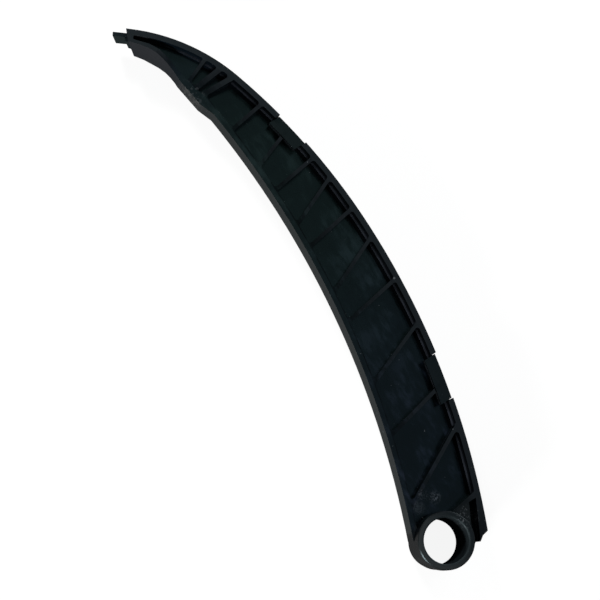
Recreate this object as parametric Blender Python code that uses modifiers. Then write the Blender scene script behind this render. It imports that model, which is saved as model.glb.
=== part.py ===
# Timing chain guide: a curved, ribbed tensioner arm in black nylon with a clip-on slide shoe.
# The arm lies on its side. X runs from the free tip to the pivot boss, Y points to the convex
# chain side and Z is the axis of the pivot bore. All sizes are in metres.
import math

import bmesh
import bpy
from mathutils import Vector

MM = 0.001

# Pivot boss, turned about the bore axis, which starts out at X = Y = 0
BORE_R = 9.45 * MM
BOSS_R = 12.0 * MM
BOSS_LENGTH = 22.0 * MM
BOSS_FOOT_R = 10.9 * MM
BOSS_FOOT_HEIGHT = 1.6 * MM
BOSS_HEAD_START = 15.0 * MM
BOSS_WAIST_R = 11.5 * MM
BORE_CHAMFER = 0.5 * MM
BOSS_CHAMFER = 0.4 * MM
BOSS_SEGMENTS = 56

# Convex chain side: three arcs in tangent, from its highest point to the corner of the tip
APEX_X = -127.9 * MM
APEX_Y = 46.5 * MM
PIVOT_SIDE_R = 326.0 * MM
TIP_SIDE_R = 268.0 * MM
NOSE_R = 81.1 * MM
TIP_X = -248.6 * MM
TIP_Y = 5.3 * MM
BAND_END_X = 6.5 * MM
BAND_END_BEVEL = 2.8 * MM

# Concave back: one long arc that passes the boss, then a ramp, the plunger pad and a hollow
BACK_R = 388.6 * MM
BACK_CLEARANCE = 12.0 * MM
BACK_LEAN = math.radians(23.06)
BACK_START_X = -7.0 * MM
RAMP_START_X = -199.5 * MM
PAD_HIGH_X = -206.0 * MM
PAD_LOW_X = -219.0 * MM
PAD_PROUD = 1.7 * MM
HOLLOW_R = 29.7 * MM
HOLLOW_TOP_X = -221.0 * MM
END_FACE_RUN = 5.1 * MM
END_SLANT = math.radians(12.0)

# Section of the arm, as half widths from its middle plane
MID_Z = 10.0 * MM
RIM_HALF = 9.0 * MM
FLANGE_HALF = 5.0 * MM
WEB_HALF = 1.0 * MM
TIP_FLOOR_HALF = 3.6 * MM
RIM_T = 2.4 * MM
RIM_END_T = 3.6 * MM
FLANGE_T = 2.5 * MM
TIP_WALL_T = 1.8 * MM
PAD_EXTRA_T = 0.8 * MM
SLOPE_FULL_X = -224.0 * MM
SLOPE_NONE_X = -235.0 * MM

# Ribs: where each meets the rim, where it meets the back flange, and its thickness
RIBS = [
    (-220.6 * MM, -217.1 * MM, 1.5 * MM),
    (-213.9 * MM, -213.0 * MM, 2.3 * MM),
    (-208.2 * MM, -209.0 * MM, 2.2 * MM),
    (-192.3 * MM, -190.3 * MM, 1.6 * MM),
    (-177.5 * MM, -171.3 * MM, 1.5 * MM),
    (-161.8 * MM, -159.2 * MM, 1.6 * MM),
    (-151.0 * MM, -142.1 * MM, 1.5 * MM),
    (-135.3 * MM, -131.5 * MM, 1.6 * MM),
    (-120.8 * MM, -110.2 * MM, 1.5 * MM),
    (-100.8 * MM, -96.6 * MM, 1.6 * MM),
    (-80.4 * MM, -69.6 * MM, 1.5 * MM),
    (-54.0 * MM, -47.7 * MM, 1.6 * MM),
    (-36.2 * MM, -18.8 * MM, 1.6 * MM),
    (-8.9 * MM, -4.3 * MM, 1.8 * MM),
]
POCKET_CORNER_R = 1.0 * MM
TIP_POCKET_BACK = 4.0 * MM
TIP_POCKET_FLAT_BACK = 10.6 * MM
BOSS_OVERRUN = 16.0 * MM
TIP_POCKET_NOSE = 1.8 * MM

# Groove between the rim's last stretch and the solid block beside the boss
END_GROOVE_X = -7.4 * MM
END_GROOVE_W = 3.1 * MM
BLOCK_END_X = 4.9 * MM
WEB_TOE = (10.0 * MM, 10.3 * MM)
WAIST_START = math.radians(38.0)

# Slide shoe: a strip in a channel along the rim, sunk a little below the rim's two edges
SHOE_T = 1.5 * MM
SHOE_HALF = 3.8 * MM
SHOE_SUNK = 0.4 * MM
SEAT_GAP = 0.3 * MM
SHOE_END_X = 1.0 * MM
CHANNEL_HALF = SHOE_HALF + SEAT_GAP
CHANNEL_DEPTH = SHOE_SUNK + SHOE_T + SEAT_GAP
CHANNEL_WALL = 0.8 * MM
CHANNEL_WALL_FOOT = 1.7 * MM
CHANNEL_WALL_IN = 0.2 * MM
LEDGE_HALF = CHANNEL_HALF + 0.5 * MM

# Snap clips of the shoe, on both sides of the rim at two places
CLIPS = [(-184.2 * MM, -169.2 * MM), (-65.8 * MM, -46.8 * MM)]
CLIP_TOP_HALF = 7.0 * MM
CLIP_PLATE_T = 1.5 * MM
CLIP_REACH = 5.3 * MM
CLIP_LIP_T = 1.1 * MM
CLIP_LIP_HALF = 2.6 * MM
CLIP_RIB_RELIEF = 0.8 * MM
CLIP_FLOOR_RELIEF = 0.2 * MM

# Tongue of the shoe past the end of the tip, and the hook below it
TONGUE_LENGTH = 6.0 * MM
TONGUE_T = 2.0 * MM
TONGUE_HALF = 5.0 * MM
TONGUE_STEP = 0.35 * MM
HOOK_T = 1.1 * MM
HOOK_HALF = 4.6 * MM
HOOK_SHORT = 1.2 * MM
HOOK_GAP = SEAT_GAP + 0.1 * MM

# Working values for cutters and for the fineness of the arcs
PAST = 3.0 * MM
SINK = 0.5 * MM
SLOPE_CLEAR = 0.4 * MM
ARC_STEP = 6.0 * MM
NOSE_STEP = 3.0 * MM
CORNER_STEPS = 3
FLAT_ANGLE = math.radians(0.1)

NYLON_COLOUR = (0.018, 0.021, 0.024, 1.0)
SHOE_COLOUR = (0.014, 0.016, 0.018, 1.0)


def clear_scene():
    for old in list(bpy.data.objects):
        bpy.data.objects.remove(old, do_unlink=True)


def new_collection(name):
    made = bpy.data.collections.new(name)
    bpy.context.scene.collection.children.link(made)
    return made


def nylon(name, colour, roughness):
    made = bpy.data.materials.new(name)
    made.use_nodes = True
    shader = made.node_tree.nodes["Principled BSDF"]
    shader.inputs["Base Color"].default_value = colour
    shader.inputs["Roughness"].default_value = roughness
    shader.inputs["Metallic"].default_value = 0.0
    return made


# Lines of the arm's outline

def tip_side_centre():
    return Vector((APEX_X, APEX_Y - TIP_SIDE_R))


def nose_centre():
    """Centre of the nose arc, which leaves the tip side's arc in tangent and ends at the tip."""
    to_tip = Vector((TIP_X, TIP_Y)) - tip_side_centre()
    rest = TIP_SIDE_R - NOSE_R
    bend = math.acos((rest ** 2 + to_tip.length ** 2 - NOSE_R ** 2) / (2 * rest * to_tip.length))
    lean = math.atan2(-to_tip.x, to_tip.y) - bend
    return tip_side_centre() + rest * Vector((-math.sin(lean), math.cos(lean)))


def nose_start_x(inset=0.0):
    """Where the nose arc starts, at an inset."""
    towards_start = (nose_centre() - tip_side_centre()).normalized()
    return APEX_X + (TIP_SIDE_R - inset) * towards_start.x


def crown(x, inset=0.0):
    """Point of the convex side at x, moved inwards by inset."""
    if x >= APEX_X:
        centre, radius = Vector((APEX_X, APEX_Y - PIVOT_SIDE_R)), PIVOT_SIDE_R - inset
    elif x >= nose_start_x(inset):
        centre, radius = tip_side_centre(), TIP_SIDE_R - inset
    else:
        centre, radius = nose_centre(), NOSE_R - inset
    return Vector((x, centre.y + math.sqrt(radius ** 2 - (x - centre.x) ** 2)))


def nose_end(inset=0.0):
    """End of the nose arc at an inset, and the way the line runs on from there."""
    tip = Vector((TIP_X, TIP_Y))
    inward = (nose_centre() - tip).normalized()
    return tip + inward * inset, Vector((inward.y, -inward.x))


def back_arc(x, inset=0.0):
    """Point of the long concave arc at x, moved inwards by inset."""
    distance = BACK_R + BACK_CLEARANCE
    centre = Vector((-math.sin(BACK_LEAN), -math.cos(BACK_LEAN))) * distance
    radius = BACK_R + inset
    return Vector((x, centre.y + math.sqrt(radius ** 2 - (x - centre.x) ** 2)))


def pad_line():
    """The two ends of the plunger pad, which stands proud of the concave arc."""
    high = back_arc(PAD_HIGH_X) - Vector((0.0, PAD_PROUD))
    low = back_arc(PAD_LOW_X) - Vector((0.0, PAD_PROUD))
    return high, low


def hollow(x, inset=0.0):
    """Point of the hollow under the tip at x, moved inwards by inset."""
    top = pad_line()[1]
    radius = HOLLOW_R + inset
    return Vector((x, top.y - HOLLOW_R + math.sqrt(radius ** 2 - (x - HOLLOW_TOP_X) ** 2)))


def hollow_end():
    """Inner corner of the tip's end face, where the hollow ends."""
    return hollow(TIP_X + END_FACE_RUN)


def back(x, inset=0.0):
    """Point of the whole back at x: arc, ramp, pad and hollow."""
    high, low = pad_line()
    if x >= RAMP_START_X:
        return back_arc(x, inset)
    if x <= HOLLOW_TOP_X:
        return hollow(x, inset)
    stations = [Vector((HOLLOW_TOP_X, low.y)), low, high, back_arc(RAMP_START_X)]
    for first, second in zip(stations, stations[1:]):
        if x <= second.x:
            share = (x - first.x) / (second.x - first.x)
            return Vector((x, first.y + share * (second.y - first.y) + inset))
    return back_arc(x, inset)


def flange_line(x, inset=0.0):
    """Inner side of the back flange at x, which is thicker over the plunger pad."""
    if x >= RIBS[2][1]:
        return back_arc(x, inset)
    if x <= HOLLOW_TOP_X:
        return hollow(x, inset)
    return back(x, inset + PAD_EXTRA_T)


def run(line, start, end, step, inset=0.0):
    """Points of a line from start to end at about even steps in x."""
    count = max(2, round(abs(end - start) / step) + 1)
    return [line(start + (end - start) * i / (count - 1), inset) for i in range(count)]


def crown_run(start, end, inset=0.0):
    """Points of the convex side between two x values, closer together on the nose."""
    nose_x = nose_start_x(inset)
    if start >= nose_x:
        return run(crown, start, end, ARC_STEP, inset)
    if end <= nose_x:
        return run(crown, start, end, NOSE_STEP, inset)
    return run(crown, start, nose_x, NOSE_STEP, inset) + run(crown, nose_x, end, ARC_STEP, inset)[1:]


def nose_band(end, outer, inner, reach):
    """Strip between two insets from past the tip to an x value."""
    first, along = nose_end(outer)
    last = nose_end(inner)[0]
    outline = [first + along * reach] + crown_run(first.x, end, outer)
    return outline + crown_run(last.x, end, inner)[::-1] + [last + along * reach]


def band(start, end, outer, inner):
    """Outline of a strip that follows the convex side between two insets."""
    return crown_run(start, end, outer) + crown_run(start, end, inner)[::-1]


def arc(centre, radius, first, last, steps):
    """Points round a centre from one angle to another."""
    angles = [first + (last - first) * i / steps for i in range(steps + 1)]
    return [centre + radius * Vector((math.cos(a), math.sin(a))) for a in angles]


def meet(first, second, line, inset):
    """Where the straight line through two points crosses one of the arm's lines."""
    low, high = -2.0, 3.0
    direction = second - first
    # the straight line runs from the rim down to the back, so its height falls
    for _ in range(50):
        middle = (low + high) / 2
        here = first + direction * middle
        if here.y > line(here.x, inset).y:
            low = middle
        else:
            high = middle
    return first + direction * low


def rounded(outline, radius):
    """Outline with a small arc at each corner sharper than 25 degrees."""
    made = []
    count = len(outline)
    for i, here in enumerate(outline):
        before = outline[i - 1] - here
        after = outline[(i + 1) % count] - here
        opening = before.angle(after)
        if opening > math.radians(155):
            made.append(here)
            continue
        cut = radius / math.tan(opening / 2)
        cut = min(cut, before.length * 0.45, after.length * 0.45)
        fitted = cut * math.tan(opening / 2)
        start = here + before.normalized() * cut
        end = here + after.normalized() * cut
        centre = here + (before.normalized() + after.normalized()).normalized() * math.hypot(cut, fitted)
        first = start - centre
        turn = first.angle_signed(end - centre)
        for k in range(CORNER_STEPS + 1):
            angle = -turn * k / CORNER_STEPS
            spun = Vector((
                first.x * math.cos(angle) - first.y * math.sin(angle),
                first.x * math.sin(angle) + first.y * math.cos(angle),
            ))
            made.append(centre + spun)
    return made


# Makers of solids

def plate(name, outlines, low, high, collection):
    """Flat outlines given their thickness between two heights, as one mesh object."""
    curve = bpy.data.curves.new(name, "CURVE")
    curve.dimensions = "2D"
    curve.fill_mode = "BOTH"
    curve.extrude = abs(high - low) / 2
    for outline in outlines:
        spline = curve.splines.new("POLY")
        spline.points.add(len(outline) - 1)
        for point, place in zip(spline.points, outline):
            point.co = (place.x, place.y, 0.0, 1.0)
        spline.use_cyclic_u = True
    drawn = bpy.data.objects.new(name + "_outline", curve)
    drawn.location.z = (low + high) / 2
    collection.objects.link(drawn)
    bpy.context.view_layer.update()
    evaluated = drawn.evaluated_get(bpy.context.evaluated_depsgraph_get())
    mesh = bpy.data.meshes.new_from_object(evaluated)
    made = bpy.data.objects.new(name, mesh)
    made.matrix_world = drawn.matrix_world.copy()
    collection.objects.link(made)
    bpy.data.objects.remove(drawn, do_unlink=True)
    bpy.data.curves.remove(curve)
    weld(mesh)
    return made


def weld(mesh):
    """Join the caps of a filled curve to its sides, each cap as one face, facing out."""
    work = bmesh.new()
    work.from_mesh(mesh)
    bmesh.ops.remove_doubles(work, verts=work.verts, dist=0.00001)
    bmesh.ops.dissolve_limit(work, angle_limit=FLAT_ANGLE, verts=work.verts, edges=work.edges)
    bmesh.ops.recalc_face_normals(work, faces=work.faces)
    work.to_mesh(mesh)
    work.free()


def loft(name, sections, collection):
    """Closed solid through a row of sections with the same number of points."""
    work = bmesh.new()
    rings = [[work.verts.new(point) for point in section] for section in sections]
    size = len(rings[0])
    for first, second in zip(rings, rings[1:]):
        for i in range(size):
            j = (i + 1) % size
            work.faces.new((first[i], first[j], second[j], second[i]))
    work.faces.new(rings[0])
    work.faces.new(rings[-1])
    bmesh.ops.recalc_face_normals(work, faces=work.faces)
    mesh = bpy.data.meshes.new(name)
    work.to_mesh(mesh)
    work.free()
    made = bpy.data.objects.new(name, mesh)
    collection.objects.link(made)
    return made


def slant_shift(side, half):
    """How far the slanted tip end has moved in at a level, counted from the near side of the rim."""
    return (MID_Z + RIM_HALF - on_side(side, half)) * math.tan(END_SLANT)


def slanted(name, outline, low_half, high_half, collection):
    """Prism between two levels that leans along the arm as the tip's end face does."""
    along = nose_end()[1].to_3d()
    sections = []
    for half in (low_half, high_half):
        shift = -along * slant_shift(1, half)
        sections.append([point.to_3d() + shift + Vector((0.0, 0.0, on_side(1, half))) for point in outline])
    return loft(name, sections, collection)


def turned(name, profile, collection):
    """Closed profile of radius and height points turned about the bore axis."""
    work = bmesh.new()
    corners = [work.verts.new((radius, 0.0, height)) for radius, height in profile]
    for first, second in zip(corners, corners[1:] + corners[:1]):
        work.edges.new((first, second))
    mesh = bpy.data.meshes.new(name)
    work.to_mesh(mesh)
    work.free()
    made = bpy.data.objects.new(name, mesh)
    collection.objects.link(made)
    screw = made.modifiers.new("turn", "SCREW")
    screw.axis = "Z"
    screw.steps = BOSS_SEGMENTS
    screw.render_steps = BOSS_SEGMENTS
    screw.use_merge_vertices = True
    screw.merge_threshold = 0.00001
    return made


def combine(target, steps):
    """Booleans of a target with its tools in turn; the tools become hidden wire guides."""
    for operation, tool in steps:
        change = target.modifiers.new(tool.name, "BOOLEAN")
        change.object = tool
        change.operation = operation
        change.solver = "EXACT"
        tool.hide_render = True
        tool.display_type = "WIRE"


def on_side(side, half):
    """Height of a level on the near side (+1) or the far side (-1) of the arm."""
    return MID_Z + side * half


# Outlines of the carrier

def arm_outline():
    """The whole arm seen along the bore axis, past the tip and with the boss waist at its end."""
    end = crown(BAND_END_X)
    slope = (crown(BAND_END_X) - crown(BAND_END_X - PAST)).normalized()
    inward = Vector((slope.y, -slope.x))
    bevel = end + (slope * 0.55 + inward * 0.83) * BAND_END_BEVEL
    tip, along = nose_end()
    outline = [tip + along * PAST] + crown_run(TIP_X, BAND_END_X) + [bevel, Vector(WEB_TOE)]
    outline += arc(Vector((0.0, 0.0)), BOSS_WAIST_R, WAIST_START, math.radians(-97), 16)
    outline += run(back_arc, BACK_START_X, RAMP_START_X, ARC_STEP)
    outline += list(pad_line())
    outline += run(hollow, HOLLOW_TOP_X, hollow_end().x, NOSE_STEP)
    outline.append(hollow_end() + along * PAST)
    return outline


def rib_line(rib, side):
    """One edge of a rib as two points, on its pivot side (+1) or tip side (-1)."""
    rim_x, flange_x, thickness = rib
    top = crown(rim_x, RIM_T)
    bottom = flange_line(flange_x, FLANGE_T)
    along = (bottom - top).normalized()
    across = Vector((-along.y, along.x)) * side * thickness / 2
    return top + across, bottom + across


def pocket_outline(tip_rib, pivot_rib):
    """Pocket between two neighbouring ribs, with rounded corners."""
    left = rib_line(tip_rib, 1)
    right = rib_line(pivot_rib, -1)
    top_left = meet(*left, crown, RIM_T)
    top_right = meet(*right, crown, RIM_T)
    low_left = meet(*left, flange_line, FLANGE_T)
    low_right = meet(*right, flange_line, FLANGE_T)
    outline = crown_run(top_left.x, top_right.x, RIM_T)
    outline += run(flange_line, low_right.x, low_left.x, ARC_STEP, FLANGE_T)
    return rounded(outline, POCKET_CORNER_R)


def boss_pocket_outline(tip_rib, pivot_rib):
    """Last pocket: two ribs and the back flange, open to the side of the boss."""
    left = rib_line(tip_rib, 1)
    right = rib_line(pivot_rib, -1)
    top_left = meet(*left, crown, RIM_T)
    top_right = meet(*right, crown, RIM_T)
    low_left = meet(*left, flange_line, FLANGE_T)
    side = right[1] - right[0]
    right_end = right[0] + side.normalized() * BOSS_OVERRUN
    outline = crown_run(top_left.x, top_right.x, RIM_T)
    outline += [right_end, Vector((BACK_START_X / 3, 0.0))]
    outline += run(flange_line, BACK_START_X * 1.3, low_left.x, ARC_STEP, FLANGE_T)
    return rounded(outline, POCKET_CORNER_R)


def tip_pocket_outline(pivot_rib, side):
    """Tapered pocket in the tip between the rim and the hollow, shorter on the far side."""
    right = rib_line(pivot_rib, -1)
    top_right = meet(*right, crown, RIM_T)
    low_right = meet(*right, flange_line, TIP_WALL_T)
    end_x = TIP_X + slant_shift(side, RIM_HALF)
    start = crown(end_x + TIP_POCKET_BACK, RIM_T)
    flat_x = end_x + TIP_POCKET_FLAT_BACK
    lower_start = start + Vector((0.75, -0.66)) * TIP_POCKET_NOSE
    outline = crown_run(start.x, top_right.x, RIM_T)
    outline += run(flange_line, low_right.x, flat_x, NOSE_STEP, TIP_WALL_T)
    outline += [lower_start]
    return rounded(outline, POCKET_CORNER_R / 2)


def end_groove_outline():
    """Groove behind the rim's last stretch, open past the end of the solid block."""
    first = crown(END_GROOVE_X, RIM_T)
    last = crown(BAND_END_X, RIM_END_T)
    toe = Vector(WEB_TOE)
    waist = Vector((math.cos(WAIST_START), math.sin(WAIST_START))) * BOSS_WAIST_R
    block = crown(BLOCK_END_X, RIM_END_T + END_GROOVE_W)
    outline = [first, last + (last - first).normalized() * PAST]
    outline += [toe + Vector((PAST, PAST / 2)), waist + Vector((PAST, 0.0)), waist]
    return outline + [block - Vector((0.0, PAST)), block, crown(END_GROOVE_X, RIM_T + END_GROOVE_W)]


def slope_sections(side):
    """Sections of the cutter that slopes the rib tops from the rim to the back flange."""
    sections = []
    last_x = BOSS_R + PAST
    stations = [SLOPE_NONE_X + (SLOPE_FULL_X - SLOPE_NONE_X) * i / 4 for i in range(4)]
    stations += [HOLLOW_TOP_X + (RIBS[2][1] - HOLLOW_TOP_X) * i / 4 for i in range(4)]
    stations += [RIBS[2][1] + (last_x - RIBS[2][1]) * i / 26 for i in range(27)]
    for x in stations:
        share = min((x - SLOPE_NONE_X) / (SLOPE_FULL_X - SLOPE_NONE_X), 1.0)
        low = RIM_HALF + SLOPE_CLEAR + (FLANGE_HALF - RIM_HALF - SLOPE_CLEAR) * share
        rim = crown(x, RIM_T + SLOPE_CLEAR)
        flange = flange_line(x, FLANGE_T - SLOPE_CLEAR)
        beyond = (rim.y - flange.y) * SLOPE_CLEAR / (RIM_HALF - FLANGE_HALF)
        section = [
            (rim.y + beyond, RIM_HALF + SLOPE_CLEAR),
            (flange.y, low),
            (flange.y - BOSS_R - FLANGE_T, low),
            (flange.y - BOSS_R - FLANGE_T, RIM_HALF + PAST),
            (rim.y + beyond, RIM_HALF + PAST),
        ]
        sections.append([Vector((x, y, on_side(side, half))) for y, half in section])
    return sections


def channel_wall_sections():
    """Sections of the wall under the shoe channel, which thickens towards the web."""
    first_x = TIP_X + TIP_POCKET_BACK + CHANNEL_WALL_IN
    last_x = RIBS[-1][0]
    thin = CHANNEL_DEPTH + CHANNEL_WALL
    foot = CHANNEL_DEPTH + CHANNEL_WALL_FOOT
    corners = [(RIM_T - SINK, LEDGE_HALF), (thin, LEDGE_HALF), (foot, WEB_HALF / 2)]
    corners += [(inset, -half) for inset, half in corners[::-1]]
    sections = []
    for along in crown_run(first_x, last_x):
        sections.append([crown(along.x, inset).to_3d() + Vector((0.0, 0.0, MID_Z + half))
                         for inset, half in corners])
    return sections


def end_cut_outline():
    """Everything past the tip's end face, as seen on the near side of the rim."""
    face = (hollow_end() - Vector((TIP_X, TIP_Y))).normalized()
    beyond = nose_end()[1] * (2 * PAST + slant_shift(-1, RIM_HALF + PAST))
    first = Vector((TIP_X, TIP_Y)) - face * PAST
    last = hollow_end() + face * PAST
    return [first, last, last + beyond, first + beyond]


def end_point(inset, off):
    """Point at an inset from the convex side and a distance off the tip's end face."""
    corner, along = nose_end()
    face = (hollow_end() - corner).normalized()
    out = Vector((face.y, -face.x))
    inward = Vector((-along.y, along.x))
    return corner + face * inset / face.dot(inward) + along * off / along.dot(out)


def tongue_outline():
    """Tongue that carries the line of the shoe on past the end of the tip."""
    outer, along = nose_end(SHOE_SUNK + TONGUE_STEP)
    inner = nose_end(SHOE_SUNK + TONGUE_T)[0]
    return [
        end_point(SHOE_SUNK + TONGUE_STEP, SEAT_GAP),
        outer + along * TONGUE_LENGTH,
        inner + along * TONGUE_LENGTH,
        end_point(SHOE_SUNK + TONGUE_T, SEAT_GAP),
    ]


def hook_outline():
    """Hook under the tongue that lies against the end face of the tip."""
    face = (hollow_end() - Vector((TIP_X, TIP_Y))).normalized()
    out = Vector((face.y, -face.x))
    first = end_point(SHOE_SUNK + TONGUE_T / 2 + TONGUE_STEP / 2, HOOK_GAP)
    last = hollow_end() - face * HOOK_SHORT + out * HOOK_GAP
    return [first, last, last - face * HOOK_T / 2 + out * HOOK_T, first + out * HOOK_T]


def strip_outline():
    """The shoe's strip in the channel, with its straight start at the tongue."""
    return nose_band(SHOE_END_X, SHOE_SUNK, SHOE_SUNK + SHOE_T, TONGUE_T)


def boss_profile():
    """Radius and height points of the boss, down its outer side and up the bore."""
    return [
        (BORE_R + BORE_CHAMFER, BOSS_LENGTH),
        (BOSS_R - BOSS_CHAMFER, BOSS_LENGTH),
        (BOSS_R, BOSS_LENGTH - BOSS_CHAMFER),
        (BOSS_R, BOSS_HEAD_START),
        (BOSS_FOOT_R, BOSS_HEAD_START),
        (BOSS_FOOT_R, 0.0),
        (BORE_R + BORE_CHAMFER, 0.0),
        (BORE_R, BORE_CHAMFER),
        (BORE_R, BOSS_LENGTH - BORE_CHAMFER),
    ]


def build_carrier(parts, cutters):
    """The ribbed arm with its boss, shoe channel and clip notches, and its Boolean steps."""
    carrier = plate("carrier", [arm_outline()], on_side(-1, RIM_HALF), on_side(1, RIM_HALF), parts)
    pockets = [pocket_outline(*pair) for pair in zip(RIBS[:-2], RIBS[1:-1])]
    pockets.append(boss_pocket_outline(RIBS[-2], RIBS[-1]))
    pockets.append(end_groove_outline())
    steps = []
    for side, label in ((1, "near"), (-1, "far")):
        steps.append(("DIFFERENCE", loft("rib_slope_" + label, slope_sections(side), cutters)))
        top = on_side(side, RIM_HALF + PAST)
        steps.append(("DIFFERENCE", plate("pockets_" + label, pockets, on_side(side, WEB_HALF),
                                          top, cutters)))
        steps.append(("DIFFERENCE", plate("tip_pocket_" + label, [tip_pocket_outline(RIBS[0], side)],
                                          on_side(side, TIP_FLOOR_HALF), top, cutters)))
    steps.append(("UNION", loft("channel_wall", channel_wall_sections(), cutters)))
    steps.append(("DIFFERENCE", slanted("tip_end_cut", end_cut_outline(), -RIM_HALF - PAST,
                                        RIM_HALF + PAST, cutters)))
    channel = nose_band(SHOE_END_X + SEAT_GAP, -PAST, CHANNEL_DEPTH, PAST)
    steps.append(("DIFFERENCE", plate("shoe_channel", [channel], on_side(-1, CHANNEL_HALF),
                                      on_side(1, CHANNEL_HALF), cutters)))
    steps += clip_seat_steps(cutters)
    room_r = (BORE_R + BOSS_FOOT_R) / 2
    room = arc(Vector((0.0, 0.0)), room_r, 0.0, 2 * math.pi, BOSS_SEGMENTS)[:-1]
    steps.append(("DIFFERENCE", plate("boss_room", [room], -PAST, BOSS_LENGTH + PAST, cutters)))
    steps.append(("UNION", turned("boss", boss_profile(), cutters)))
    return carrier, steps


def clip_seat_steps(cutters):
    """Notches through the rim for the snap clips, and slots behind it for their lips."""
    rooms = [(start - SEAT_GAP, end + SEAT_GAP) for start, end in CLIPS]
    slot_start = CLIP_REACH - CLIP_LIP_T - SEAT_GAP
    slot_end = CLIP_REACH + CLIP_RIB_RELIEF
    steps = []
    for side, label in ((1, "near"), (-1, "far")):
        top = on_side(side, RIM_HALF + PAST)
        slots = [band(*room, slot_start, slot_end) for room in rooms]
        steps.append(("DIFFERENCE", plate("clip_slot_" + label, slots,
                                          on_side(side, CLIP_LIP_HALF - SEAT_GAP), top, cutters)))
        notches = [band(*room, -PAST, (slot_start + slot_end) / 2) for room in rooms]
        floor = CLIP_TOP_HALF - CLIP_PLATE_T - SEAT_GAP
        steps.append(("DIFFERENCE", plate("clip_notch_" + label, notches,
                                          on_side(side, floor), top, cutters)))
        gates = [band(*room, -PAST, CHANNEL_DEPTH + CLIP_FLOOR_RELIEF) for room in rooms]
        steps.append(("DIFFERENCE", plate("clip_gate_" + label, gates,
                                          on_side(side, CHANNEL_HALF - SINK),
                                          on_side(side, floor + SINK), cutters)))
    return steps


def build_shoe(parts, cutters):
    """The slide shoe with its tongue, hook and snap clips, and its Boolean steps."""
    shoe = plate("slide_shoe", [strip_outline()], on_side(-1, SHOE_HALF), on_side(1, SHOE_HALF), parts)
    steps = [
        ("UNION", slanted("tongue", tongue_outline(), -TONGUE_HALF, TONGUE_HALF, cutters)),
        ("UNION", slanted("end_hook", hook_outline(), -HOOK_HALF, HOOK_HALF, cutters)),
    ]
    low = CLIP_TOP_HALF - CLIP_PLATE_T
    bridges = [band(*clip, 0.0, SHOE_SUNK + SHOE_T) for clip in CLIPS]
    plates = [band(*clip, SHOE_SUNK, CLIP_REACH) for clip in CLIPS]
    lips = [band(*clip, CLIP_REACH - CLIP_LIP_T, CLIP_REACH - CLIP_FLOOR_RELIEF) for clip in CLIPS]
    for side, label in ((1, "near"), (-1, "far")):
        steps.append(("UNION", plate("clip_bridge_" + label, bridges, on_side(side, SHOE_HALF - SINK),
                                     on_side(side, CLIP_TOP_HALF - SINK), cutters)))
        steps.append(("UNION", plate("clip_plate_" + label, plates, on_side(side, low),
                                     on_side(side, CLIP_TOP_HALF), cutters)))
        steps.append(("UNION", plate("clip_lip_" + label, lips, on_side(side, CLIP_LIP_HALF),
                                     on_side(side, low + SINK), cutters)))
    return shoe, steps


def finish(part, material):
    part.data.materials.clear()
    part.data.materials.append(material)


def stand_on_floor(parts, frame):
    """Move the frame so that the middle of the footprint is at the origin."""
    bpy.context.view_layer.update()
    graph = bpy.context.evaluated_depsgraph_get()
    corners = []
    for part in parts:
        shown = part.evaluated_get(graph)
        corners += [shown.matrix_world @ Vector(corner) for corner in shown.bound_box]
    low = [min(corner[i] for corner in corners) for i in range(3)]
    high = [max(corner[i] for corner in corners) for i in range(3)]
    frame.location = (-(low[0] + high[0]) / 2, -(low[1] + high[1]) / 2, -low[2])


def main():
    clear_scene()
    parts = new_collection("timing_chain_guide")
    cutters = new_collection("cutters")
    carrier, carrier_steps = build_carrier(parts, cutters)
    shoe, shoe_steps = build_shoe(parts, cutters)
    combine(carrier, carrier_steps)
    combine(shoe, shoe_steps)
    finish(carrier, nylon("black_glass_filled_nylon", NYLON_COLOUR, 0.42))
    finish(shoe, nylon("black_slide_nylon", SHOE_COLOUR, 0.34))
    frame = bpy.data.objects.new("guide_frame", None)
    parts.objects.link(frame)
    for thing in list(parts.objects) + list(cutters.objects):
        if thing is not frame:
            thing.parent = frame
    stand_on_floor((carrier, shoe), frame)
    bpy.context.view_layer.update()


main()
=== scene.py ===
# Looks for the timing chain guide: black moulded nylon on a plain white ground.
# Sizes are in metres. X runs from the free tip to the pivot boss, Y points to the convex chain
# side and Z is up, along the pivot bore.
import math

import bmesh
import bpy
from mathutils import Matrix, Vector


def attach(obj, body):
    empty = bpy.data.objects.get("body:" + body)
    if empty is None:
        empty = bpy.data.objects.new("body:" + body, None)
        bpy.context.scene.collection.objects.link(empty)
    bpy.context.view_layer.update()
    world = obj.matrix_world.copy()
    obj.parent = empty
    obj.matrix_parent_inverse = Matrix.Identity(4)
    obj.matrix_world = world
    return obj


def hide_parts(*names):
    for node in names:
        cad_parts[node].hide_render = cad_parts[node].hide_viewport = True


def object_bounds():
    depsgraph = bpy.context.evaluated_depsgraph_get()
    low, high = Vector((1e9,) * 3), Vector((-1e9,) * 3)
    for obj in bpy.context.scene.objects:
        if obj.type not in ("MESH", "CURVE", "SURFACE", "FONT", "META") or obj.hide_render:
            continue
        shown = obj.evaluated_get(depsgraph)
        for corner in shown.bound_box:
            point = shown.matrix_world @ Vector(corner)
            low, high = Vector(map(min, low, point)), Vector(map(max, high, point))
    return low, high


MM = 0.001
PIVOT = Vector((119.534, -17.245, 0.0)) * MM

# Lines of the arm, as in the part's source
APEX_X = -127.9 * MM
APEX_Y = 46.5 * MM
BACK_R = 388.6 * MM
BACK_CLEARANCE = 12.0 * MM
BACK_LEAN = math.radians(23.06)
MID_Z = 10.0 * MM
RIM_R = 326.0 * MM
RIM_CENTRE = PIVOT + Vector((APEX_X, APEX_Y - RIM_R, 0.0))
BORE_R = 9.45 * MM
BACK_CENTRE = PIVOT - Vector((math.sin(BACK_LEAN), math.cos(BACK_LEAN), 0.0)) * (BACK_R + BACK_CLEARANCE)

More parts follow.
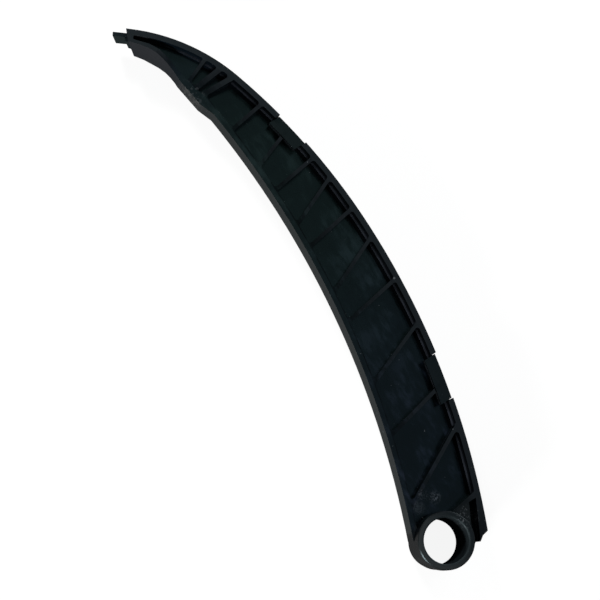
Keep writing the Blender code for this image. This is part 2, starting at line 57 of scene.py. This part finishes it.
# Middles of the places that look different: the solid block, the dished floor beside the ring with its
# painted highlight, the two scuffs past it, and the plunger pad
BLOCK_SPOT = PIVOT + Vector((-3.0, 13.5, 0.0)) * MM
DISH_SPOT = PIVOT + Vector((-16.6, 0.2, 0.0)) * MM
LOW_SCUFF_SPOT = PIVOT + Vector((-19.8, 4.2, 0.0)) * MM
HIGH_SCUFF_SPOT = PIVOT + Vector((-16.4, 8.2, 0.0)) * MM
PAD_SPOT = PIVOT + Vector((-211.5, 12.6, 0.0)) * MM

# Scale, in spots per metre, and detail of each noise
CLOUDS = (70.0, 5.0)
FLOW_MARKS = (420.0, 4.0)
FINE_GRAIN = (2600.0, 2.0)
SPECKS = (520.0, 1.0)
COARSE_GRAIN = (1100.0, 2.0)
FLOW_STRETCH = (0.35, 1.0, 1.0)
FLOW_TURN = (0.0, 0.0, 0.25)

# Colours that both mouldings share
TIP_END_TINT = (0.78, 1.12, 1.0)
BOSS_END_TINT = (0.86, 0.90, 1.40)
TIP_FLOOR_COLOUR = (0.0035, 0.0062, 0.0090)
# Painted highlight of the haze in the dish, also the colour of the scuffs
DISH_HIGHLIGHT_AND_SCUFF_COLOUR = (0.110, 0.125, 0.150)
# Painted highlight of the ledge along the rim's foot
LEDGE_HIGHLIGHT_COLOUR = (0.055, 0.061, 0.078)
BLOCK_COLOUR = (0.0130, 0.0150, 0.0170)
# Ring top: painted light on its back side, painted shade on its chain side
RING_PAINTED_LIGHT_COLOUR = (0.0290, 0.0320, 0.0330)
RING_PAINTED_SHADE_COLOUR = (0.0070, 0.0090, 0.0110)
# Bore wall: painted light, lighter than the other inner walls
BORE_PAINTED_LIGHT_COLOUR = (0.0110, 0.0150, 0.0175)
DUST_COLOUR = (0.090, 0.098, 0.106)

# How far the noise has risen where the floors are dark, middling and pale
CLOUD_STOPS = (0.42, 0.50, 0.60)

# Gloss and relief that both mouldings share
STREAKS_FROM = 0.3
STREAKS_TO = 0.7
BACK_DULL = 0.30
BORE_DULL = 0.30
WALL_DULL = 0.03
PAD_GRIT = 0.30
FLOW_DEPTH = 0.3 * MM
FLOW_STRENGTH = 0.12
GRAIN_DEPTH = 0.06 * MM
GRAIN_STRENGTH = 0.05
GRIT_STRENGTH = 0.7
NYLON_IOR = 1.5
NYLON_SPECULAR = 0.34
NYLON_SPECULAR_TINT = (0.72, 0.94, 1.0, 1.0)

# Each moulding's own look. The floors run from dark to pale clouds and the tops from low to high.
# The walls are near-black painted shade along the arm and lighter painted light in the tip, and the back
# is painted grey for its reflection, with a colour along the arm and one in the tip, and its worn pad
# last. The chain side is the outer face. Rough gives the lowest and highest roughness of the floors and
# what a top adds to it.
ARM_LOOK = {
    "floors": ((0.0002, 0.0006, 0.0007), (0.0020, 0.0036, 0.0040), (0.0130, 0.0170, 0.0190)),
    "tops": ((0.0050, 0.0066, 0.0090), (0.0070, 0.0080, 0.0104)),
    "walls_painted_shade_and_light": ((0.0001, 0.0002, 0.0005), (0.0030, 0.0060, 0.0095)),
    "back": ((0.032, 0.035, 0.035), (0.024, 0.025, 0.029), (0.078, 0.078, 0.072)),
    "chain_side": (0.014, 0.016, 0.018),
    "rough": (0.15, 0.23, 0.23),
}
SHOE_LOOK = {
    "floors": ((0.0020, 0.0032, 0.0036), (0.0028, 0.0042, 0.0046), (0.0040, 0.0054, 0.0060)),
    "tops": ((0.0030, 0.0040, 0.0045), (0.0030, 0.0040, 0.0045)),
    "walls_painted_shade_and_light": ((0.0010, 0.0014, 0.0016), (0.0050, 0.0080, 0.0080)),
    "back": ((0.008, 0.014, 0.014), (0.010, 0.017, 0.017), (0.008, 0.014, 0.014)),
    "chain_side": (0.022, 0.024, 0.026),
    "rough": (0.26, 0.36, 0.02),
}

# Broken edges of the mouldings
ARM_EDGE = 0.22 * MM
SHOE_EDGE = 0.16 * MM
EDGE_SEGMENTS = 2
JOIN_WITHIN = 0.02 * MM
FLAT_ANGLE = math.radians(0.3)
SHARP_ANGLE = math.radians(28)
EDGE_ANGLE = math.radians(30)
FACE_WEIGHT = 80

# Camera of the photograph: its axes and spot, its sensor and lens in millimetres, and how near and
# far it sees
CAMERA_RIGHT = (0.54544, 0.82095, 0.16892)
CAMERA_UP = (-0.83703, 0.52315, 0.16029)
CAMERA_BACK = (0.04322, -0.22882, 0.97251)
CAMERA_SPOT = PIVOT + Vector((-82.7, -165.3, 739.5)) * MM
SENSOR_WIDTH = 36.0
LENS = 108.12
NEAREST = 0.02
FURTHEST = 20.0

# Ground and surroundings
GROUND_R = 2.2
GROUND_CORNERS = 96
GROUND_DROP = 0.2 * MM
WHITE = (1.0, 1.0, 1.0)
PAPER_COLOUR = (0.2, 0.2, 0.2)
PAPER_GLOW = 0.9
TENT_COLOUR = (0.95, 0.98, 1.0)
TENT_STRENGTH = 0.07

# Sockets of a Mix node that is set to colours, and what keeps a place's X and Y and drops its height
MIX_SHARE, MIX_FIRST, MIX_SECOND, MIX_RESULT = 0, 6, 7, 2
IN_PLAN = (1.0, 1.0, 0.0)

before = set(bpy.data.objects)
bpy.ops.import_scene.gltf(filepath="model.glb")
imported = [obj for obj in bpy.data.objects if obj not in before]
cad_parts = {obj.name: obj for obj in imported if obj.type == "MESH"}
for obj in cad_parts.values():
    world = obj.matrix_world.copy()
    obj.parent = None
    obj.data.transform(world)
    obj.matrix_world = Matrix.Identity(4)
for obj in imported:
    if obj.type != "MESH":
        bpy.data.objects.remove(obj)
cad_low, cad_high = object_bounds()


# Steps that the materials are made of

def feed(tree, socket, given):
    """Give an input its value, or join it to the output that works it out."""
    if isinstance(given, bpy.types.NodeSocket):
        tree.links.new(given, socket)
    elif socket.type == "RGBA":
        socket.default_value = (*given, 1.0)
    else:
        socket.default_value = given


def maths(tree, operation, first, second=0.0):
    """One sum on two values, each a number or an output."""
    made = tree.nodes.new("ShaderNodeMath")
    made.operation = operation
    feed(tree, made.inputs[0], first)
    feed(tree, made.inputs[1], second)
    return made.outputs[0]


def times(tree, share, *others):
    """A share multiplied by each of the others in turn."""
    for other in others:
        share = maths(tree, "MULTIPLY", share, other)
    return share


def rest_of(tree, share):
    """What a share leaves of the whole."""
    return maths(tree, "SUBTRACT", 1.0, share)


def fade(tree, value, start, end, start_share=0.0, end_share=1.0):
    """Smooth step of a value, from one share at the start to the other at the end."""
    made = tree.nodes.new("ShaderNodeMapRange")
    made.interpolation_type = "SMOOTHSTEP"
    feed(tree, made.inputs["Value"], value)
    feed(tree, made.inputs["From Min"], start)
    feed(tree, made.inputs["From Max"], end)
    feed(tree, made.inputs["To Min"], start_share)
    feed(tree, made.inputs["To Max"], end_share)
    return made.outputs[0]


def near(tree, plan, centre, whole, gone):
    """Share that is whole within one distance of a centre and gone past the other, seen in plan."""
    away = tree.nodes.new("ShaderNodeVectorMath")
    away.operation = "DISTANCE"
    feed(tree, away.inputs[0], plan)
    feed(tree, away.inputs[1], centre)
    return fade(tree, away.outputs["Value"], whole, gone, start_share=1.0, end_share=0.0)


def mixed(tree, share, first, second, how="MIX"):
    """Colour that goes from the first to the second by a share."""
    made = tree.nodes.new("ShaderNodeMix")
    made.data_type = "RGBA"
    made.blend_type = how
    feed(tree, made.inputs[MIX_SHARE], share)
    feed(tree, made.inputs[MIX_FIRST], first)
    feed(tree, made.inputs[MIX_SECOND], second)
    return made.outputs[MIX_RESULT]


def layered(tree, colour, *layers):
    """Colour with others laid over it in turn, each on the share of the surface that it takes."""
    for share, over in layers:
        colour = mixed(tree, share, colour, over)
    return colour


def clouded(tree, value, colours):
    """Colour that runs through the given ones as a value rises past the cloud stops."""
    made = tree.nodes.new("ShaderNodeValToRGB")
    stops = made.color_ramp.elements
    while len(stops) < len(colours):
        stops.new(1.0)
    for stop, position, colour in zip(stops, CLOUD_STOPS, colours):
        stop.position = position
        stop.color = (*colour, 1.0)
    feed(tree, made.inputs["Fac"], value)
    return made.outputs["Color"]


def noise(tree, place, size):
    """Noise at a place, by its scale and detail."""
    made = tree.nodes.new("ShaderNodeTexNoise")
    scale, detail = size
    feed(tree, made.inputs["Vector"], place)
    feed(tree, made.inputs["Scale"], scale)
    feed(tree, made.inputs["Detail"], detail)
    return made.outputs["Fac"]


def relief(tree, height, depth, strength):
    """Bump node of a height pattern."""
    made = tree.nodes.new("ShaderNodeBump")
    feed(tree, made.inputs["Distance"], depth)
    feed(tree, made.inputs["Height"], height)
    feed(tree, made.inputs["Strength"], strength)
    return made


# Materials of the two mouldings

def noises_of(tree, place):
    """The noises of the nylon, of which the flow marks are drawn out along the arm."""
    stretch = tree.nodes.new("ShaderNodeMapping")
    stretch.inputs["Scale"].default_value = FLOW_STRETCH
    stretch.inputs["Rotation"].default_value = FLOW_TURN
    feed(tree, stretch.inputs["Vector"], place)
    return {
        "cloud": noise(tree, place, CLOUDS),
        "flow": noise(tree, stretch.outputs["Vector"], FLOW_MARKS),
        "fine": noise(tree, place, FINE_GRAIN),
        "speck": noise(tree, place, SPECKS),
        "coarse": noise(tree, place, COARSE_GRAIN),
    }


def zones_of(tree, place, normal, noises):
    """Shares that say what a spot belongs to, from where it lies and which way it faces."""
    spot = tree.nodes.new("ShaderNodeSeparateXYZ")
    facing = tree.nodes.new("ShaderNodeSeparateXYZ")
    level = tree.nodes.new("ShaderNodeVectorMath")
    level.operation = "MULTIPLY"
    feed(tree, spot.inputs["Vector"], place)
    feed(tree, facing.inputs["Vector"], normal)
    feed(tree, level.inputs[0], place)
    feed(tree, level.inputs[1], IN_PLAN)
    plan = level.outputs["Vector"]

    # Heights and slopes
    off_middle = maths(tree, "ABSOLUTE", maths(tree, "SUBTRACT", spot.outputs["Z"], MID_Z))
    raised = fade(tree, off_middle, start=3.6 * MM, end=8.6 * MM)
    flat = fade(tree, maths(tree, "ABSOLUTE", facing.outputs["Z"]), start=0.55, end=0.9)
    wall = rest_of(tree, flat)

    # Lines of the arm
    inside_rim = near(tree, plan, RIM_CENTRE, whole=RIM_R - 12.0 * MM, gone=RIM_R - 11.0 * MM)
    inside_crown = near(tree, plan, RIM_CENTRE, whole=RIM_R - 1.5 * MM, gone=RIM_R - 1.0 * MM)
    back_side = near(tree, plan, BACK_CENTRE, whole=BACK_R + 0.2 * MM, gone=BACK_R + 0.6 * MM)
    boss = near(tree, plan, PIVOT, whole=BORE_R + 3.2 * MM, gone=BORE_R + 4.0 * MM)

    # Painted highlight along the thin ledge at the rim's foot, broken up by the flow marks
    above_ledge_foot = fade(tree, off_middle, start=4.35 * MM, end=4.45 * MM)
    above_ledge_top = fade(tree, off_middle, start=4.65 * MM, end=4.75 * MM)
    ledge_highlight_band = maths(tree, "SUBTRACT", above_ledge_foot, above_ledge_top)

    # Places with marks of their own
    block = near(tree, plan, BLOCK_SPOT, whole=3.5 * MM, gone=6.0 * MM)
    pad = near(tree, plan, PAD_SPOT, whole=4.0 * MM, gone=8.5 * MM)
    low_scuff = near(tree, plan, LOW_SCUFF_SPOT, whole=0.3 * MM, gone=3.8 * MM)
    high_scuff = near(tree, plan, HIGH_SCUFF_SPOT, whole=0.3 * MM, gone=3.6 * MM)
    return {
        "raised": raised,
        "flat": flat,
        "wall": wall,
        "top": times(tree, raised, flat),
        "along": fade(tree, spot.outputs["X"], start=-0.045, end=0.085),
        "tip": rest_of(tree, fade(tree, spot.outputs["X"], start=-0.108, end=-0.078)),
        "chain_side": rest_of(tree, inside_crown),
        "ledge_highlight": times(tree, ledge_highlight_band, rest_of(tree, inside_rim), noises["flow"]),
        "back_wall": times(tree, back_side, wall, rest_of(tree, boss)),
        "bore_wall": near(tree, plan, PIVOT, whole=BORE_R + 0.3 * MM, gone=BORE_R + 1.2 * MM),
        "boss": boss,
        # Share of the ring top's painted shade, rising toward the chain side
        "ring_painted_shade_share": fade(tree, spot.outputs["Y"], start=PIVOT.y - 8.0 * MM, end=PIVOT.y + 9.0 * MM),
        "block": block,
        "dish": near(tree, plan, DISH_SPOT, whole=1.0 * MM, gone=3.6 * MM),
        "scuffed": maths(tree, "MAXIMUM", low_scuff, high_scuff),
        "pad": pad,
        "gritty": maths(tree, "MAXIMUM", block, times(tree, pad, PAD_GRIT)),
    }


def colour_of(tree, look, zones, noises):
    """Colour of the nylon: clouded floors, with walls in painted shade and light, tops, the back's painted
    reflection, the bore's painted light, painted highlights and marks laid over them.
    """
    # Marks: a painted highlight in the dish, scuffs, wear on the pad, grit and dust
    coarse = noises["coarse"]
    dish_highlight = times(tree, fade(tree, coarse, start=0.15, end=0.70), zones["dish"])
    scuffs = times(tree, fade(tree, coarse, start=0.36, end=0.74), zones["scuffed"])
    worn = times(tree, fade(tree, coarse, start=0.48, end=0.58), zones["pad"])
    grit = times(tree, fade(tree, coarse, start=0.55, end=0.63), zones["gritty"])
    dust = fade(tree, noises["speck"], start=0.765, end=0.80)

    # Colours of the places, the floors' from half flow marks and half clouds
    drift = maths(tree, "ADD", times(tree, noises["flow"], 0.5), times(tree, noises["cloud"], 0.5))
    floors = clouded(tree, drift, look["floors"])
    tint = mixed(tree, zones["along"], TIP_END_TINT, BOSS_END_TINT)
    # Inner walls: near-black painted shade along the arm, lighter painted light in the tip
    walls_painted_shade_and_light = layered(tree, look["walls_painted_shade_and_light"][0], (zones["tip"], look["walls_painted_shade_and_light"][1]),
                    (zones["chain_side"], look["chain_side"]))
    # Ring top goes from painted light on the back side to painted shade on the chain side
    ring_painted_light_and_shade = mixed(tree, zones["ring_painted_shade_share"], RING_PAINTED_LIGHT_COLOUR, RING_PAINTED_SHADE_COLOUR)
    tops = layered(tree, look["tops"][0], (zones["raised"], look["tops"][1]),
                   (zones["block"], BLOCK_COLOUR), (zones["boss"], ring_painted_light_and_shade))
    # Back: grey painted reflection, darker in the tip, with real wear on the plunger pad
    back = layered(tree, look["back"][0], (zones["tip"], look["back"][1]), (worn, look["back"][2]))
    return layered(
        tree,
        mixed(tree, 1.0, floors, tint, "MULTIPLY"),
        (zones["tip"], TIP_FLOOR_COLOUR),
        (maths(tree, "MAXIMUM", dish_highlight, scuffs), DISH_HIGHLIGHT_AND_SCUFF_COLOUR),
        (zones["wall"], walls_painted_shade_and_light),
        (zones["ledge_highlight"], LEDGE_HIGHLIGHT_COLOUR),
        (zones["top"], tops),
        (zones["back_wall"], back),
        (zones["bore_wall"], BORE_PAINTED_LIGHT_COLOUR),
        (maths(tree, "MAXIMUM", dust, grit), DUST_COLOUR),
    )


def dullness_of(tree, look, zones, noises):
    """Roughness: the floors are the glossiest, with duller streaks, and each other place adds to it."""
    lowest, highest, top_dull = look["rough"]
    streaks = tree.nodes.new("ShaderNodeMapRange")
    feed(tree, streaks.inputs["Value"], noises["flow"])
    feed(tree, streaks.inputs["From Min"], STREAKS_FROM)
    feed(tree, streaks.inputs["From Max"], STREAKS_TO)
    feed(tree, streaks.inputs["To Min"], lowest)
    feed(tree, streaks.inputs["To Max"], highest)
    dullness = streaks.outputs[0]
    for zone, more in (("top", top_dull), ("back_wall", BACK_DULL), ("bore_wall", BORE_DULL),
                       ("wall", WALL_DULL)):
        dullness = maths(tree, "ADD", dullness, times(tree, zones[zone], more))
    return dullness


def relief_of(tree, zones, noises):
    """Fine grain over the flow marks of the level faces, deepest where the surface is gritty."""
    flat_grain = times(tree, zones["flat"], GRAIN_STRENGTH)
    grit_grain = times(tree, zones["gritty"], GRIT_STRENGTH)
    flow = relief(tree, noises["flow"], FLOW_DEPTH, times(tree, zones["flat"], FLOW_STRENGTH))
    grain = relief(tree, noises["fine"], GRAIN_DEPTH, maths(tree, "ADD", flat_grain, grit_grain))
    feed(tree, grain.inputs["Normal"], flow.outputs["Normal"])
    return grain.outputs["Normal"]


def moulded_nylon(name, look):
    """Black nylon: glossy cloudy floors, duller paler tops, inner walls darkened with painted shade and a
    rough back painted grey for its reflection.
    """
    made = bpy.data.materials.new(name)
    made.use_nodes = True
    tree = made.node_tree
    shader = tree.nodes["Principled BSDF"]
    coordinates = tree.nodes.new("ShaderNodeTexCoord")
    place = coordinates.outputs["Object"]
    noises = noises_of(tree, place)
    zones = zones_of(tree, place, coordinates.outputs["Normal"], noises)
    feed(tree, shader.inputs["Base Color"], colour_of(tree, look, zones, noises))
    feed(tree, shader.inputs["Roughness"], dullness_of(tree, look, zones, noises))
    feed(tree, shader.inputs["Normal"], relief_of(tree, zones, noises))
    shader.inputs["IOR"].default_value = NYLON_IOR
    shader.inputs["Specular IOR Level"].default_value = NYLON_SPECULAR
    shader.inputs["Specular Tint"].default_value = NYLON_SPECULAR_TINT
    return made


# Pieces that stand for the two mouldings, with their edges broken as moulded edges are

def broken_edges(node_name, piece_name, width, material):
    """The node's own mesh, merged and bevelled by a hair along every sharp edge."""
    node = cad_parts[node_name]
    work = bmesh.new()
    work.from_mesh(node.data)
    bmesh.ops.remove_doubles(work, verts=work.verts, dist=JOIN_WITHIN)
    bmesh.ops.dissolve_limit(work, angle_limit=FLAT_ANGLE, verts=work.verts, edges=work.edges)
    for face in work.faces:
        face.smooth = True
    mesh = bpy.data.meshes.new(piece_name)
    work.to_mesh(mesh)
    work.free()
    mesh.set_sharp_from_angle(angle=SHARP_ANGLE)
    made = bpy.data.objects.new(piece_name, mesh)
    bpy.context.scene.collection.objects.link(made)
    bevel = made.modifiers.new("broken_edges", "BEVEL")
    bevel.width = width
    bevel.segments = EDGE_SEGMENTS
    bevel.limit_method = "ANGLE"
    bevel.angle_limit = EDGE_ANGLE
    bevel.use_clamp_overlap = True
    level = made.modifiers.new("level_normals", "WEIGHTED_NORMAL")
    level.mode = "FACE_AREA"
    level.weight = FACE_WEIGHT
    level.keep_sharp = True
    mesh.materials.append(material)
    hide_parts(node_name)
    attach(made, "root")


# Camera, lights and ground

def place_camera():
    """Camera of the photograph, found from the boss's circles and the arm's arcs."""
    camera = bpy.data.objects.new("camera", bpy.data.cameras.new("camera"))
    bpy.context.scene.collection.objects.link(camera)
    turn = Matrix((CAMERA_RIGHT, CAMERA_UP, CAMERA_BACK)).transposed().to_4x4()
    camera.matrix_world = Matrix.Translation(CAMERA_SPOT) @ turn
    camera.data.sensor_width = SENSOR_WIDTH
    camera.data.lens = LENS
    camera.data.clip_start = NEAREST
    camera.data.clip_end = FURTHEST
    bpy.context.scene.camera = camera


def area_light(name, spot, target, sizes, power, colour=WHITE):
    """Oblong lamp at a spot, turned to a target."""
    lamp = bpy.data.lights.new(name, "AREA")
    lamp.shape = "RECTANGLE"
    lamp.size, lamp.size_y = sizes
    lamp.energy = power
    lamp.color = colour
    made = bpy.data.objects.new(name, lamp)
    bpy.context.scene.collection.objects.link(made)
    made.location = spot
    made.rotation_mode = "QUATERNION"
    made.rotation_quaternion = (Vector(target) - Vector(spot)).to_track_quat("-Z", "Y")


def white_ground():
    """Round white ground that reads as plain white and still takes the arm's shadow."""
    work = bmesh.new()
    bmesh.ops.create_circle(work, cap_ends=True, segments=GROUND_CORNERS, radius=GROUND_R)
    mesh = bpy.data.meshes.new("ground")
    work.to_mesh(mesh)
    work.free()
    ground = bpy.data.objects.new("ground", mesh)
    ground.location.z = -GROUND_DROP
    bpy.context.scene.collection.objects.link(ground)
    made = bpy.data.materials.new("white_ground")
    made.use_nodes = True
    tree = made.node_tree
    tree.nodes.clear()
    path = tree.nodes.new("ShaderNodeLightPath")
    paper = tree.nodes.new("ShaderNodeBsdfDiffuse")
    glow = tree.nodes.new("ShaderNodeEmission")
    lit = tree.nodes.new("ShaderNodeAddShader")
    pick = tree.nodes.new("ShaderNodeMixShader")
    out = tree.nodes.new("ShaderNodeOutputMaterial")
    seen = maths(tree, "MAXIMUM", path.outputs["Is Camera Ray"], path.outputs["Is Transmission Ray"])
    feed(tree, paper.inputs["Color"], PAPER_COLOUR)
    feed(tree, glow.inputs["Strength"], PAPER_GLOW)
    feed(tree, lit.inputs[0], paper.outputs[0])
    feed(tree, lit.inputs[1], glow.outputs[0])
    feed(tree, pick.inputs[0], seen)
    feed(tree, pick.inputs[1], paper.outputs[0])
    feed(tree, pick.inputs[2], lit.outputs[0])
    feed(tree, out.inputs["Surface"], pick.outputs[0])
    mesh.materials.append(made)


def set_world():
    """Pale surroundings that the camera sees as white."""
    world = bpy.data.worlds.new("tent")
    world.use_nodes = True
    tree = world.node_tree
    tree.nodes.clear()
    sky = tree.nodes.new("ShaderNodeBackground")
    seen = tree.nodes.new("ShaderNodeBackground")
    path = tree.nodes.new("ShaderNodeLightPath")
    pick = tree.nodes.new("ShaderNodeMixShader")
    out = tree.nodes.new("ShaderNodeOutputWorld")
    feed(tree, sky.inputs["Color"], TENT_COLOUR)
    feed(tree, sky.inputs["Strength"], TENT_STRENGTH)
    feed(tree, seen.inputs["Color"], WHITE)
    feed(tree, seen.inputs["Strength"], 1.0)
    feed(tree, pick.inputs[0], path.outputs["Is Camera Ray"])
    feed(tree, pick.inputs[1], sky.outputs[0])
    feed(tree, pick.inputs[2], seen.outputs[0])
    feed(tree, out.inputs["Surface"], pick.outputs[0])
    bpy.context.scene.world = world


arm_nylon = moulded_nylon("black_arm_nylon", ARM_LOOK)
shoe_nylon = moulded_nylon("black_shoe_nylon", SHOE_LOOK)
broken_edges("carrier", "carrier_moulding", ARM_EDGE, arm_nylon)
broken_edges("slide_shoe", "slide_shoe_moulding", SHOE_EDGE, shoe_nylon)

place_camera()
set_world()
white_ground()
middle = (cad_low + cad_high) / 2
area_light("tip_softbox", spot=(-0.25, 0.27, 1.0), target=(-0.1, 0.0, 0.0), sizes=(0.42, 0.40),
           power=0.160, colour=(0.66, 1.0, 0.97))
area_light("boss_softbox", spot=(0.13, 0.25, 1.0), target=(0.1, 0.0, 0.0), sizes=(0.32, 0.40),
           power=0.100, colour=(0.58, 0.80, 1.0))
area_light("window", spot=(0.27, -0.93, 0.33), target=middle, sizes=(0.30, 0.20), power=8.5)
area_light("far_lamp", spot=(-0.80, 0.10, 0.60), target=middle, sizes=(0.20, 0.20), power=4.0)
area_light("chain_side_lamp", spot=(-0.15, 0.95, 0.26), target=middle, sizes=(0.50, 0.30), power=5.0)

bpy.context.scene.view_settings.view_transform = "Standard"
